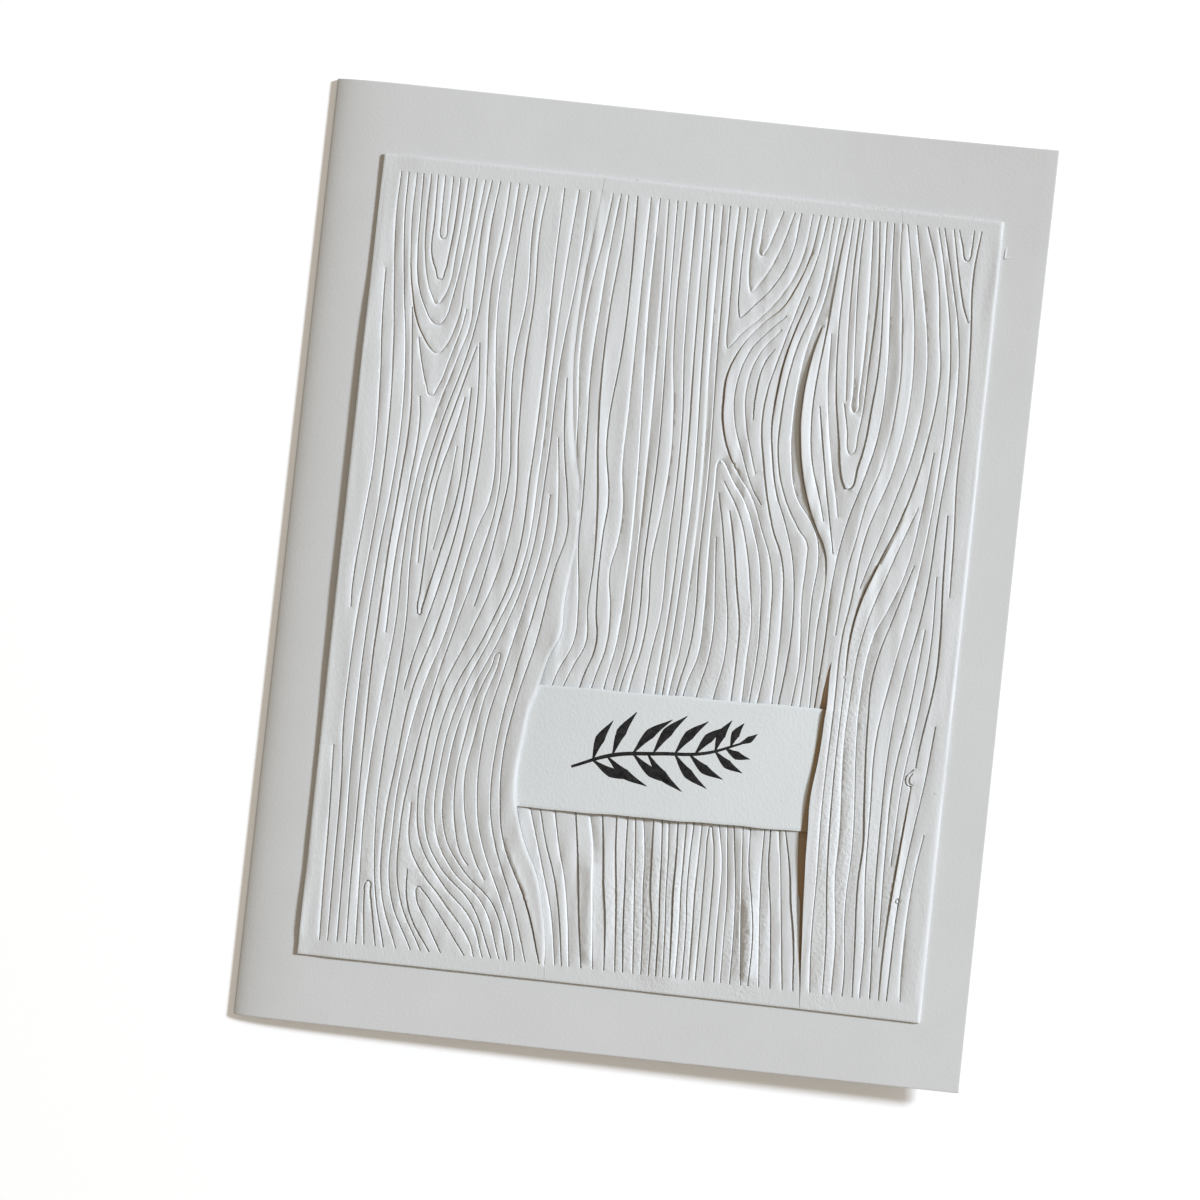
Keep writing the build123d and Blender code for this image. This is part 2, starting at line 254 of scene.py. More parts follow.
# grain of the middle strip, above the label
middleGrain = [
    [(42.7, hi), (42, 120), (40.6, 110), (40.3, 102), (40.9, 95), (41.7, 85.2), (42.15, 82.4)],
    [(43.9, hi), (43.25, 120), (42.6, 110), (42.25, 100), (42.7, 90), (43.1, 80), (43.1, 75), (44.1, 65),
     (44, 60), (42, 55), (41, 51)],
    [(45, hi), (44.85, 120), (44.1, 110), (43.9, 100), (44.4, 90), (45.4, 80), (45.7, 72), (45.5, 65),
     (45.8, 60), (44.3, 56.3), (42.3, 51)],
    [(46.4, hi), (46.7, 115), (46.6, 105), (45.7, 90), (46.9, 81), (46.6, 76), (46.8, 65), (47.35, 60),
     (46, 55), (45, 51)],
    [(48.4, hi), (48.4, 95), (48.4, 86), (49.1, 80.5), (48.9, 75), (48.2, 71), (48.9, 65), (48.9, 60),
     (47.7, 55), (46.8, 51)],
    [(49.75, hi), (49.75, 110), (50.4, 95), (50.8, 85), (50.8, 70), (50.3, 60), (49.4, 55), (48.8, 51)],
    [(51.1, hi), (51.5, 115), (51.8, 100), (52, 85), (52, 70), (51.7, 60), (50.8, 55), (50.2, 51)],
    [(52.4, hi), (52.8, 110), (53.5, 90), (53.3, 80), (53.1, 72), (53.25, 65), (52.9, 60), (51.8, 55),
     (51.2, 51)],
    [(53.7, hi), (54.1, 105), (55.1, 95), (55.4, 89), (54.9, 80), (54.2, 73), (54.5, 65), (54.1, 60),
     (53.1, 55), (52.6, 51)],
    [(55.3, hi), (55.7, 105), (56.5, 95), (56.7, 87), (56.4, 75), (56.4, 65), (55.7, 60), (55.2, 55),
     (54.9, 51)],
    [(56.7, hi), (57.25, 105), (57.8, 90), (57.8, 70), (57.25, 60), (56.9, 55), (56.6, 51)],
    [(57.9, hi), (58.5, 105), (59.2, 85), (59, 75), (58.4, 60), (58, 55), (57.7, 51)],
    [(59.2, hi), (59.6, 105), (60.3, 85), (60.2, 70), (59.75, 60), (59, 55), (58.6, 51)],
    [(60.3, hi), (60.7, 105), (61.3, 85), (61.2, 75), (61.5, 65), (61.1, 60), (60.1, 55), (59.5, 51)],
    [(61.7, hi), (61.6, 120), (61.8, 110), (61.85, 106.6), (62.1, 105.4), (62.1, 105.4), (62.85, 106.3),
     (64, 107.9), (66.5, 110.5), (69.8, 115), (71.8, 120), (72.7, hi)],
    [(62.9, hi), (62.9, 115), (63.15, 111.2), (63.45, 110.1), (63.45, 110.1), (64.1, 110.7), (65.2, 112),
     (67.7, 115), (70.1, 120), (71, hi)],
    [(64.4, hi), (64, 120), (64.3, 115.2), (64.7, 113.95), (64.7, 113.95), (65.5, 115), (68.1, 120),
     (70, hi)],
    [(65.7, hi), (65.4, 122), (65.7, 119.7), (66.2, 120.3), (67.2, 123), (68.3, hi)],
    [(73.9, hi), (72.9, 120), (71.1, 115), (69.6, 112.3), (67, 109.8), (65, 107.3), (63.7, 105),
     (62.5, 101.5), (62.35, 98), (62.6, 94.5), (64, 90), (66, 86.7), (68, 84), (70, 79.3), (72, 73.9),
     (72.7, 65), (72.7, 60), (72.2, 55), (71.7, 51)],
    [(70.3, 111.1), (67.2, 107.8), (65.6, 105.6), (64, 100), (64.3, 95), (66, 90), (68, 85.2), (69.5, 83)],
    [(69.8, 109), (66.9, 105), (65.6, 100), (66, 95), (67.5, 89.5), (68.2, 87.4)],
    [(69.1, 106), (67.9, 104), (67, 98.5), (67, 95.3)],
    [(75, hi), (74, 120), (72.6, 115), (69.9, 105), (68.75, 100), (68.4, 95), (69.1, 90), (71.5, 80),
     (73.5, 75), (74.3, 68), (74.2, 55), (74, 51)],
    [(73.4, 114.3), (70.85, 105), (70.2, 100), (69.9, 95), (70.5, 90), (71.6, 85), (73.6, 80), (75.1, 75),
     (76, 66), (75.8, 60), (75.3, 55), (74.9, 51)],
    [(75.95, hi), (74.9, 115), (72.05, 105), (71.1, 95), (71.35, 90), (72.7, 85), (75.4, 80), (76.9, 78),
     (77.1, 75), (77, 70), (77.6, 60), (77.2, 55), (76.8, 51)],
    [(77.05, hi), (75.85, 115), (73.55, 105), (72.9, 95), (73.3, 90), (74.5, 85), (77.9, 80), (78.8, 76.5),
     (78.5, 70), (78.6, 60), (78.4, 55), (78.2, 51)],
    [(75.8, 110), (74.65, 105), (74.0, 97), (74.3, 93), (75.0, 88.8), (76.44, 83.9), (78.11, 80.2),
     (79.38, 77.8), (80.06, 75.2), (79.7, 65), (79.8, 55), (79.7, 51)],
    [(60.7, 51), (61.2, 55), (62.6, 60), (62.8, 65), (62.5, 75), (62.4, 85), (62.5, 88.6), (62.8, 88.9),
     (65, 86), (67.3, 82.7), (69, 78.5), (70.1, 75), (71.25, 65), (71.25, 60), (70.9, 55), (70.6, 51)],
    [(63.7, 85.8), (66.3, 81.5), (67.9, 77), (69.3, 70), (69.9, 65), (69.8, 60), (69.7, 51)],
    [(63.1, 84), (64.2, 79), (65.7, 70), (66.4, 65), (66.5, 60), (65.7, 55), (65, 51)],
    [(65, 81.5), (66, 77.5), (67.3, 70), (68.2, 65), (68.3, 60), (68, 51)],
    [(63.4, 77.4), (64, 70), (64.4, 65), (64.2, 60), (63.2, 55), (62.4, 51)],
    [(77.95, hi), (77.35, 120), (76.6, 110), (75.7, 100), (75.75, 95), (76.4, 90), (78, 85), (79, 81.5)],
    [(78.85, hi), (78.35, 115), (78.3, 110), (79.0, 99.8), (79.47, 96.9), (80.12, 93.2), (80.72, 89.4),
     (81.41, 87.2), (82.0, 86.5), (83.3, 90), (84.5, 100), (84.8, 106), (84.4, 115), (83.8, hi)],
    [(77.3, 109.2), (77.7, 100), (79.3, 90), (80.5, 85), (81.1, 82.3)],
    [(76.7, 98.3), (77.3, 95), (79.2, 85), (80.25, 80), (80.9, 76.8)],
    [(79.75, hi), (79.6, 118), (79.75, 110), (80.5, 99.6)],
    [(80.5, hi), (80.4, 120), (80.8, 110), (81.4, 101), (81.55, 98.2), (81.95, 97.9), (82.3, 101),
     (82.4, 112), (82.15, 120), (81.8, hi)],
    [(80.3, 99), (81.15, 95), (81.6, 92.1), (82, 91.7), (82.8, 95), (83.35, 105), (83.6, 115), (83.3, 120),
     (82.7, hi)],
    [(84.9, hi), (85.5, 115), (86.1, 105), (85.8, 95), (84.8, 90), (82.2, 80), (81.1, 70), (81.1, 65),
     (80.6, 55), (80.4, 51)],
]

# grain of the middle strip below the label: x at these five heights
belowHeights = [35, 30, 25, 20, lo]
belowGrain = [
    (40.2, 41.8, 43.4, 44.9, 46.3), (41.7, 43.1, 44.9, 46.1, 47.3), (43.9, 45, 46.4, 47.35, 48.4),
    (47, 47.8, 48.5, 49.1, 50.2), (49.1, 50.1, 50.5, 51.1, 51.9), (51, 51.7, 52.25, 53, 53.6),
    (53.1, 53.5, 54.1, 54.6, 55.2), (54.75, 55, 55.4, 55.7, 56.4), (55.9, 56.4, 56.8, 57.25, 57.9),
    (57.1, 57.8, 58.1, 58.6, 59.1), (58.6, 58.9, 59.2, 59.9, 60.2), (59.9, 60.3, 60.6, 61, 61.3),
    (60.9, 61.3, 61.5, 61.9, 62.3), (62.25, 62.5, 62.6, 62.9, 63.3), (63.5, 63.6, 63.7, 64, 64.2),
    (64.6, 64.5, 64.6, 65, 65.2), (65.8, 65.8, 65.8, 66, 66.2), (68.4, 69.3, 69.5, 69.6, 69.9),
    (69.6, 70.1, 70.6, 70.7, 70.9), (70.6, 71.25, 71.8, 72.1, 72.3), (71.9, 72.3, 72.7, 73.1, 73.9),
    (73, 73.3, 74.2, 74.9, 75), (75.1, 75.2, 75.5, 75.9, 76.6), (76, 76.25, 77, 77.6, 78.3),
    (77.3, 78, 78.6, 79.2, 80.1), (78.3, 79.4, 80.1, 81, 81.7),
]
for row in belowGrain:
    tucked = (row[0] * 1.5 - row[1] * 0.5, 37.5)  # runs on under the label
    middleGrain.append([tucked] + atHeights(belowHeights, *row))
middleGrain.append([(67.2, lo), (67.1, 20), (66.9, 30), (66.85, 34), (67.1, 35), (67.5, 34), (68.1, 30),
                    (68.3, 25), (68.4, lo)])

# grain of the right strip
rightGrain = [
    [(86.9, hi), (88.1, 120), (89.6, 110), (89.9, 100), (88.5, 90), (85.5, 80), (84.3, 70), (83.6, 65),
     (83.4, 55), (83.1, 40), (83.4, 30), (83.6, 20), (84.2, lo)],
    [(88.3, hi), (89.6, 120), (91.5, 110), (92, 105), (91.5, 95), (89.1, 85), (86.2, 75), (85.4, 72.1)],
    [(89.9, hi), (92, 120), (93.4, 110), (94, 105), (93.2, 95), (91.1, 85), (87.4, 75), (85.7, 70),
     (84.8, 65), (84.6, 58), (84.4, 45), (84.9, 30), (85.8, 20), (86.1, lo)],
    [(94.3, 93.2), (93.5, 85), (91.9, 75), (90.1, 70), (88.1, 65), (87.1, 55), (87.2, 50), (88.2, 35),
     (88.1, 25), (89, 15), (89, lo)],
    [(92.8, 84.8), (89.4, 75), (86.5, 65), (85.6, 55), (85.4, 50), (86.1, 35), (86.1, 30), (87.2, 20),
     (87.4, lo)],
    [(93.1, 76.3), (91.3, 70), (88.75, 60), (88.6, 53), (89.4, 40), (89.8, 35), (89.6, 29), (90.1, 20),
     (90.5, lo)],
    atHeights(everyTen, 91.5, 93.1, 95, 95.6, 95.3, 94.5, 93.2, 91.5, 90.1, 90.3, 90.6, 91.5, 91.6),
    [(92.4, hi), (94.1, 120), (96.25, 110), (96.8, 98), (96, 85), (95.1, 70), (93.3, 60), (92.2, 50),
     (92.1, 35), (92.4, 25), (93, 15), (93.1, lo)],
    [(93.8, hi), (95.2, 120), (96.5, 115), (97.3, 113)],
    [(94.6, hi), (95.3, 124.3), (96.2, 122), (96.5, 122.2), (96.75, 124), (96.8, hi)],
    [(97.9, hi), (97.4, 120), (98, 110), (98.3, 102), (98.1, 90), (98.6, 80), (98.8, 72.2)],
    [(97.3, 84.2), (97.6, 75), (98.1, 65), (98, 60), (96.7, 50), (96.4, 46.8)],
    [(96, 44), (95.3, 35), (94.6, 25), (94.4, 20), (94.4, lo)],
    [(96.6, 75), (96.8, 65), (96, 55), (94.7, 45), (94.2, 32)],
    [(95.7, 67), (94.6, 55), (93.3, 45), (93.2, 35), (93.6, 20.2)],
    [(98.7, 53), (98, 45), (96.7, 35), (95.8, 25), (95.7, 20), (95.6, lo)],
    [(98.6, 37), (97.7, 30), (97.3, 18), (97.6, lo)],
]
# a split knot and a small round one
rightGrain.append([(96.06, 46.4), (95.3, 45.7), (95.07, 44.8), (95.41, 44.1), (95.89, 43.9)])
rightGrain.append([(95.95, 45.8), (95.63, 45.1), (95.84, 44.3), (96.12, 44.2)])
knotTurns = [i * math.pi / 4 for i in range(9)]
rightGrain.append([(95.72 + 0.33 * math.cos(t), 27 + 0.33 * math.sin(t)) for t in knotTurns])

# outlines of the strips, from the panel's bottom edge to its top edge
leftCut = [(44.9, 10), (44.78, 12.4), (44.6, 15), (43.7, 20), (42.3, 25), (39.8, 30), (38.2, 35),
           (37.7, 40), (38.1, 45), (38.5, 49), (39.6, 53), (40.5, 57), (42, 61), (42, 65), (42.4, 70),
           (42.9, 75), (42.8, 79), (42.3, 83), (41.4, 87), (40.6, 91), (40.1, 95), (39.6, 100),
           (39.5, 105), (39.6, 110), (39.9, 115), (40.4, 120), (40.98, 126.5), (41.2, 129)]
rightCut = [(82.9, 9.85), (82.8, 11.9), (82.75, 12.8), (82.5, 15.9), (82.18, 20.4), (81.85, 25),
            (81.68, 28.1), (81.42, 32.7), (81.35, 35.8), (81.2, 40.4), (81.8, 46.4), (82.0, 49.2),
            (82.13, 52.8), (82.27, 54.5), (82.28, 56.4), (82.28, 58.8), (82.34, 60.95), (82.5, 65),
            (82.8, 70), (83.3, 75), (84.2, 80), (85.1, 85), (86.6, 90), (87.55, 95), (88, 100),
            (88.1, 105), (87.7, 110), (87.2, 115), (86.4, 120), (86.02, 126.5), (85.9, 128.6)]
# the slit is open up to here, and above it the two sides all but touch
slitTop = 62
middleRight = [(82.88, 9.85), (82.7, 11.9), (82.6, 12.8), (82.06, 17.3), (81.64, 21.9), (81.28, 25.6),
               (80.98, 26.5), (80.61, 29.5), (80.32, 32.6), (80.12, 35.6), (80.3, 44), (81.15, 53),
               (81.27, 54.1), (81.38, 55), (81.5, 56.4), (81.7, 57.8), (81.9, 59.3), (82.08, 60.2),
               (82.31, 60.95)]
middleRight += [(round(x - 0.02, 3), y) for x, y in rightCut if y > slitTop]
middleLeft = [(x + 0.03, y) for x, y in leftCut]
leftEdge = [(8.2, 10), (8.05, 45), (8.0, 70), (7.95, 95), (8.0, 129)]
rightEdge = [(100.85, 9.65), (100.85, 45), (101.05, 70), (101.05, 95), (101.0, 128.3)]

# the window that lights the card, in degrees and metres
light = {
    "azimuth": 24.0,
    "elevation": 29.0,
    "distance": 4.0,
    "size": 0.65,
    "power": 232.0,
    "shade": (0.837, 0.908, 1.0),
    "fill": 0.36,
    "fillShade": (1.0, 0.861, 0.68, 1),
}
azimuth = math.radians(light["azimuth"])
windowWay = np.array([math.cos(azimuth), math.sin(azimuth)])

strip = {
    "stock": 0.45,
    "step": 0.30,  # spacing of mesh points along a line
    "grooveDepths": (0.185, 0.25, 0.205, 0.285),  # the lines take these in turn
    "bank": 0.155,  # from a keel to either bank
    "bankLean": 0.075,  # steeper on the right, slacker on the left
    "ragged": 0.012,
    "raggedMost": 0.03,
    "shoulder": 0.26,  # mesh points beside each bank
    "lineMargin": 0.08,  # how far mesh rows stay from the strip's edge
    "shoulderMargin": 0.3,
    "lipRows": (0.35, 0.7, 1.0),
    "spread": 0.8,  # spacing of mesh points on the plain face
    "spreadMargin": 0.45,
    "press": ((10, 60, 129), (1.3, 1.15, 0.85)),  # the grain is pressed harder towards the bottom
    # the face beside each line leans this way or that
    "lean": {"leftStrip": 0.055, "middleStrip": 0.095, "rightStrip": 0.08},
    "leanReach": 1.2,
    "pillowReach": 0.70,  # soft swell of the face between lines
    "pillowDepth": 0.06,
    "rimRows": (0.14, 0.34, 0.6, 0.95),
    "swell": 0.25,  # slow waviness of the stock, along the grain
    "swellSize": (1.7, 19, 10),
    "crackShadeReach": 0.15,  # brown painted shade down a gaping line, this far each way
    "grainTop": 126.8,  # the border beyond the grain stays plain
    "grainBottom": 11.9,
    "grainFade": 1.6,
    "bottomRim": (0.14, 0.05),  # reach and depth
    "topRim": (0.30, 0.07),
    "thinnest": 0.03,
    "smoothBelow": 38.0,
}

# places where the stock is crumpled: middle, reach each way, share
crumples = [(60, 22, 9, 12, 1.0), (74, 20, 4, 11, 0.8), (86, 40, 4, 32, 0.9), (82, 106, 4, 16, 0.15),
            (66, 62, 9, 12, 0.4), (22, 25, 9, 14, 0.4), (92, 30, 6, 16, 0.6)]


def evenly(points, step):
    gaps = np.hypot(*np.diff(points, axis=0).T)
    along = np.concatenate([[0], np.cumsum(gaps)])
    count = max(3, int(round(along[-1] / step)) + 1)
    stops = np.linspace(0, along[-1], count)
    return np.column_stack([np.interp(stops, along, points[:, 0]), np.interp(stops, along, points[:, 1])])


# points of one drawn line, in mm from the card's middle
def linePoints(line, step):
    helper = drawLines([line])
    spots = readPoints(helper)[:, :2] / mm
    removeHelper(helper)
    return evenly(spots, step)


# a sheet between two drawn edges, with a mesh row along each line's keel and on both its banks;
# a lip is a line that gapes: the face on its right stands up by a rise and falls away over a reach
def grainSheet(name, leftLine, rightLine, grain, lips):
    step = strip["step"]
    leftPoints = linePoints(leftLine, step)
    rightPoints = linePoints(rightLine, step)
    bottom = evenly(np.array([leftPoints[0], rightPoints[0]]), step)[1:-1]
    top = evenly(np.array([rightPoints[-1], leftPoints[-1]]), step)[1:-1]
    outline = np.vstack([bottom, rightPoints, top, leftPoints[::-1]])

    def inside(spots, margin):
        x, y = spots.T
        left = np.interp(y, leftPoints[:, 1], leftPoints[:, 0])
        right = np.interp(y, rightPoints[:, 1], rightPoints[:, 0])
        low = np.interp(x, [leftPoints[0, 0], rightPoints[0, 0]], [leftPoints[0, 1], rightPoints[0, 1]])
        high = np.interp(x, [leftPoints[-1, 0], rightPoints[-1, 0]], [leftPoints[-1, 1], rightPoints[-1, 1]])
        return (x > left + margin) & (x < right - margin) & (y > low + margin) & (y < high - margin)

    def treeOf(rows):
        tree = KDTree(sum(len(row) for row in rows))
        for number, (x, y) in enumerate(np.vstack(rows)):
            tree.insert((x, y, 0), number)
        tree.balance()
        return tree

    keels = [linePoints(line, step) for line in grain]
    keelTree = treeOf(keels)

    def fromKeels(spots):
        return np.array([keelTree.find((x, y, 0))[2] for x, y in spots])

    verts = [tuple(spot) for spot in outline]
    rises = [0.0] * len(outline)
    edges = [(i, (i + 1) % len(outline)) for i in range(len(outline))]

    def addRow(spots, rise, keep, joined=False):
        before = None
        for spot, z, wanted in zip(spots, np.broadcast_to(rise, len(spots)), keep):
            if not wanted:
                before = None
                continue
            verts.append(tuple(spot))
            rises.append(float(z))
            if joined and before is not None:
                edges.append((before, len(verts) - 1))
            before = len(verts) - 1

    def sides(keel):
        run = np.gradient(keel, axis=0)
        run /= np.hypot(run[:, 0], run[:, 1])[:, None]
        return run, np.column_stack([-run[:, 1], run[:, 0]])

    def towardsWindow(row):
        across = sides(row)[1]
        return across * np.sign(across @ windowWay)[:, None]

    rng = np.random.default_rng(len(grain))
    bank = strip["bank"]
    margin = strip["lineMargin"]
    ragged = strip["raggedMost"]
    depths = strip["grooveDepths"]
    for number, keel in enumerate(keels):
        run, across = sides(keel)
        press = np.interp(keel[:, 1] + card["height"] / 2, *strip["press"])
        addRow(keel, -depths[number % len(depths)] * press, inside(keel, margin), True)
        ends = np.array([keel[0] - run[0] * bank, keel[-1] + run[-1] * bank])
        addRow(ends, 0, inside(ends, margin))
        toWindow = across @ windowWay
        for side in (-1, 1):
            away = bank - strip["bankLean"] * side * toWindow
            away += np.clip(rng.normal(0, strip["ragged"], len(keel)), -ragged, ragged)
            row = keel + across * side * away[:, None]
            addRow(row, 0, inside(row, margin) & (fromKeels(row) > away * 0.95), True)
            away = away + strip["shoulder"]
            row = keel + across * side * away[:, None]
            addRow(row, 0, inside(row, strip["shoulderMargin"]) & (fromKeels(row) > away * 0.9))
    lipRows = [linePoints(line, 0.1) for line, rise, reach in lips]
    for row, (line, rise, reach) in zip(lipRows, lips):
        across = towardsWindow(row)
        for share in strip["lipRows"]:
            beside = (row + across * reach * share)[::3]
            addRow(beside, 0, inside(beside, 0.1) & (fromKeels(beside) > bank * 1.2))
    # rows beside the rim, and a loose spread of points on the plain face
    for away in strip["rimRows"]:
        for row in (leftPoints + (away, 0), rightPoints - (away, 0), bottom + (0, away), top - (0, away)):
            addRow(row, 0, inside(row, away * 0.95) & (fromKeels(row) > bank * 1.4))
    spread = strip["spread"]
    columns = np.arange(outline[:, 0].min(), outline[:, 0].max(), spread)
    rows = np.arange(outline[:, 1].min(), outline[:, 1].max(), spread)
    loose = np.array([(x + (j % 2) * spread / 2, y) for j, y in enumerate(rows) for x in columns])
    loose = loose[inside(loose, strip["spreadMargin"])]
    loose = loose[fromKeels(loose) > bank + strip["shoulder"] + 0.15]
    addRow(loose, 0, np.ones(len(loose), bool))

    flat = delaunay_2d_cdt([Vector(v) for v in verts], edges, [], 1, 1e-5, True)
    spots = np.array([tuple(v) for v in flat[0]])
    faces = np.array([tuple(f) for f in flat[2]])
    faces = faces[inside(spots[faces].mean(axis=1), 0)]
    lift = np.array([min([rises[i] for i in origin]) if origin else -depths[0] / 2 for origin in flat[3]])
    crackShade = np.zeros(len(spots))

    def liftBeside(row, rise, reach, split):
        across = towardsWindow(row)
        tree = treeOf([row])
        low = row.min(axis=0) - reach
        high = row.max(axis=0) + reach
        for number in np.nonzero(((spots > low) & (spots < high)).all(axis=1))[0]:
            spot = spots[number]
            here, away = tree.find((spot[0], spot[1], 0))[1:]
            if away > reach:
                continue
            taper = math.sin(math.pi * min(max(here / (len(row) - 1), 0.02), 0.98)) ** 0.6
            if np.dot(spot - row[here], across[here]) > 0.05:
                lift[number] += rise[here] * taper * (1 - away / reach)
            # where the line is split, brown painted shade along it, full at the line and gone at its reach
            if split:
                crackShade[number] = max(crackShade[number], taper * max(0, 1 - away / strip["crackShadeReach"]))

    for row, (line, rise, reach) in zip(lipRows, lips):
        liftBeside(row, np.full(len(row), rise), reach, True)
    for keel in keels:
        wave = np.sin(np.arange(len(keel)) * step / rng.uniform(6, 14) + rng.uniform(0, 6))
        liftBeside(keel, strip["lean"][name] * (rng.normal() + wave), strip["leanReach"], False)
    mesh = bpy.data.meshes.new(name)
    mesh.from_pydata([(x * mm, y * mm, z * mm) for (x, y), z in zip(spots, lift)], [], faces.tolist())
    x, y = drawnAt(spots * mm)
    crumple = np.zeros(len(spots))
    for middleX, middleY, reachX, reachY, share in crumples:
        far = ((x - middleX) / reachX) ** 2 + ((y - middleY) / reachY) ** 2
        crumple = np.maximum(crumple, share * np.clip(1.3 - far, 0, 1))
    for key, values in (("crackShade", crackShade), ("crumple", crumple)):
        mesh.attributes.new(key, "FLOAT", "POINT").data.foreach_set("value", values)
    return addObject(name, mesh)


# slow waviness, stretched along the grain
def swellFace(obj):
    stretch = addObject("stretch", None)
    stretch.scale = [size * mm for size in strip["swellSize"]]
    bpy.context.view_layer.update()
    cloud = bpy.data.textures.new("swell", "CLOUDS")
    cloud.noise_scale = 0.9
    cloud.noise_depth = 1
    wave = obj.modifiers.new("swell", "DISPLACE")
    wave.texture = cloud
    wave.texture_coords = "OBJECT"
    wave.texture_coords_object = stretch
    wave.direction = "Z"
    wave.mid_level = 0.5
    wave.strength = strip["swell"] * mm
    applyAll(obj)
    bpy.data.objects.remove(stretch)


# finishes a strip's face; each rim or hill is a line with its reach and depth
def pressStrip(name, leftLine, rightLine, grain, lips, rims, hills=()):
    obj = grainSheet(name, leftLine, rightLine, grain, lips)
    before = readPoints(obj)
    pressNear(obj, grain, strip["pillowReach"], strip["pillowDepth"], "SMOOTH")
    swellFace(obj)
    spots = readPoints(obj)
    y = drawnAt(spots)[1]
    inward = np.minimum(strip["grainTop"] - y, y - strip["grainBottom"])
    share = np.clip(inward / strip["grainFade"], 0, 1)
    spots[:, 2] = before[:, 2] + (spots[:, 2] - before[:, 2]) * share
    writePoints(obj, spots)
    bottom = ([leftLine[0], rightLine[0]], *strip["bottomRim"])
    top = ([leftLine[-1], rightLine[-1]], *strip["topRim"])
    for line, reach, depth in rims + [bottom, top]:
        pressNear(obj, [line], reach, depth)
    for line, reach, depth in hills:
        pressNear(obj, [line], reach, depth, "SMOOTH")
    print(name, len(obj.data.polygons), "faces pressed")
    return obj


# closes a pressed sheet with upright edges and a flat back
def closeBack(obj):
    spots = readPoints(obj)
    spots[:, 2] += strip["stock"] * mm
    writePoints(obj, spots)
    pick(obj)
    bpy.ops.object.mode_set(mode="EDIT")
    bpy.ops.mesh.select_mode(type="EDGE")
    bpy.ops.mesh.select_all(action="DESELECT")
    bpy.ops.mesh.select_non_manifold(extend=False)
    bpy.ops.mesh.extrude_edges_move(TRANSFORM_OT_translate={"value": (0, 0, 0)})
    bpy.ops.transform.resize(value=(1, 1, 0), center_override=(0, 0, 0))
    bpy.ops.mesh.edge_face_add()
    bpy.ops.mesh.select_all(action="SELECT")
    bpy.ops.mesh.normals_make_consistent(inside=False)
    bpy.ops.object.mode_set(mode="OBJECT")
    bpy.ops.object.shade_smooth_by_angle(angle=math.radians(strip["smoothBelow"]))


# the label, in mm: its ends and its middle on the card, and its cut
label = {
    "left": 35.9,
    "right": 84.1,
    "middle": 44.4,
    "tilt": 1.15,
    "height": 18.3,
    "trim": 0.1,
    "stock": 0.20,
    "arch": 0.48,
    "cells": (96, 36),
    "edgeRound": 0.06,
    "wobble": ((0.05, 21, 1.0), (0.03, 47, 0.0)),  # of the hand cut edges: size, rate and start
}
turn = math.radians(label["tilt"])
labelWide = label["right"] - label["left"]
labelMiddleX = (label["left"] + label["right"]) / 2
labelReach = labelWide / 2 * math.cos(turn) + label["height"] / 2 * math.sin(turn)
rideHeight = strip["stock"] + label["stock"]
leftRise = rideHeight / (labelMiddleX - labelReach - leftEdge[0][0])
rightRise = rideHeight / (rightEdge[0][0] - labelMiddleX - labelReach)

# lines that gape, most of them parts of the grain: the line, how far the face on its right stands up,
# and over what reach
leftLips = [
    (leftGrain[4][2:9] + [(18.7, 100.3)], 0.15, 0.9),
    (leftGrain[27][-3:], 0.12, 0.8),
]
middleLips = [
    ([(76.3, 112)] + middleGrain[26][:9] + [(79.95, 71)], 0.54, 1.6),
    (middleGrain[18][5:12], 0.42, 1.2),
    ([(73.5, 122)] + middleGrain[18][1:5], 0.16, 1.0),
    (middleGrain[23][:4], 0.16, 1.0),
    ([(81.2, 72), (81.1, 65), (80.85, 60), (80.6, 55), (80.4, 51)], 0.12, 0.8),
]
rightLips = [
    ([(91.1, 85), (89.6, 80), (87.4, 75), (85.7, 70), (84.8, 65), (84.6, 60)], 0.22, 1.0),
    ([(96, 44), (95.3, 35), (94.6, 25)], 0.14, 0.8),
]

# how far a strip's inner edge rides up, by height: fully over the label, nearly flat elsewhere
leftRide = [(10, 0.03), (14, 0.12), (20, 0.30), (30, 0.85), (34, 1.0), (55, 1.0), (60, 0.85), (70, 0.30),
            (80, 0.10), (100, 0.05), (125, 0.0)]
rightRide = [(10, 0.02), (13, 0.10), (20, 0.60), (30, 0.95), (34, 1.0), (53.5, 0.95), (55.5, 0.5),
             (58, 0.18), (61, 0.03), (75, 0.0)]


# bends a strip up over the label in a curve that starts flat at its outer edge
def rideUp(obj, pivot, rise, ride):
    spots = readPoints(obj)
    heights = spots[:, 1] / mm + card["height"] / 2
    marks = np.array(ride)
    share = np.interp(heights, marks[:, 0], marks[:, 1])
    reach = rideHeight * mm / rise
    spots[:, 2] += rise * (spots[:, 0] - pivot) ** 2 / reach * share
    writePoints(obj, spots)


# the open leaf's top corner curls up a little, and the strips with it
curl = {"fromX": 68.0, "fromY": 82.0, "rise": 1.7}


def curlUp(spots):
    x, y = drawnAt(spots)
    across = np.clip((x - curl["fromX"]) / (card["width"] - curl["fromX"]), 0, 1)
    along = np.clip((y - curl["fromY"]) / (card["height"] - curl["fromY"]), 0, 1)
    return curl["rise"] * mm * across ** 1.6 * along ** 1.3


def partOf(line, low, high):
    return [spot for spot in line if low < spot[1] < high]


lowerCut = partOf(leftCut, 12, 82)
# the upper part of the left cut lies lower, and the more so towards its middle
cutParts = [partOf(leftCut, low, high) for low, high in ((78, 127), (82, 121), (86, 116))]
leftRims = [(leftEdge, 0.14, 0.06), (lowerCut, 0.38, 0.18)] + [(part, 0.80, 0.075) for part in cutParts]
leftStrip = pressStrip("leftStrip", leftEdge, leftCut, leftGrain, leftLips, leftRims)
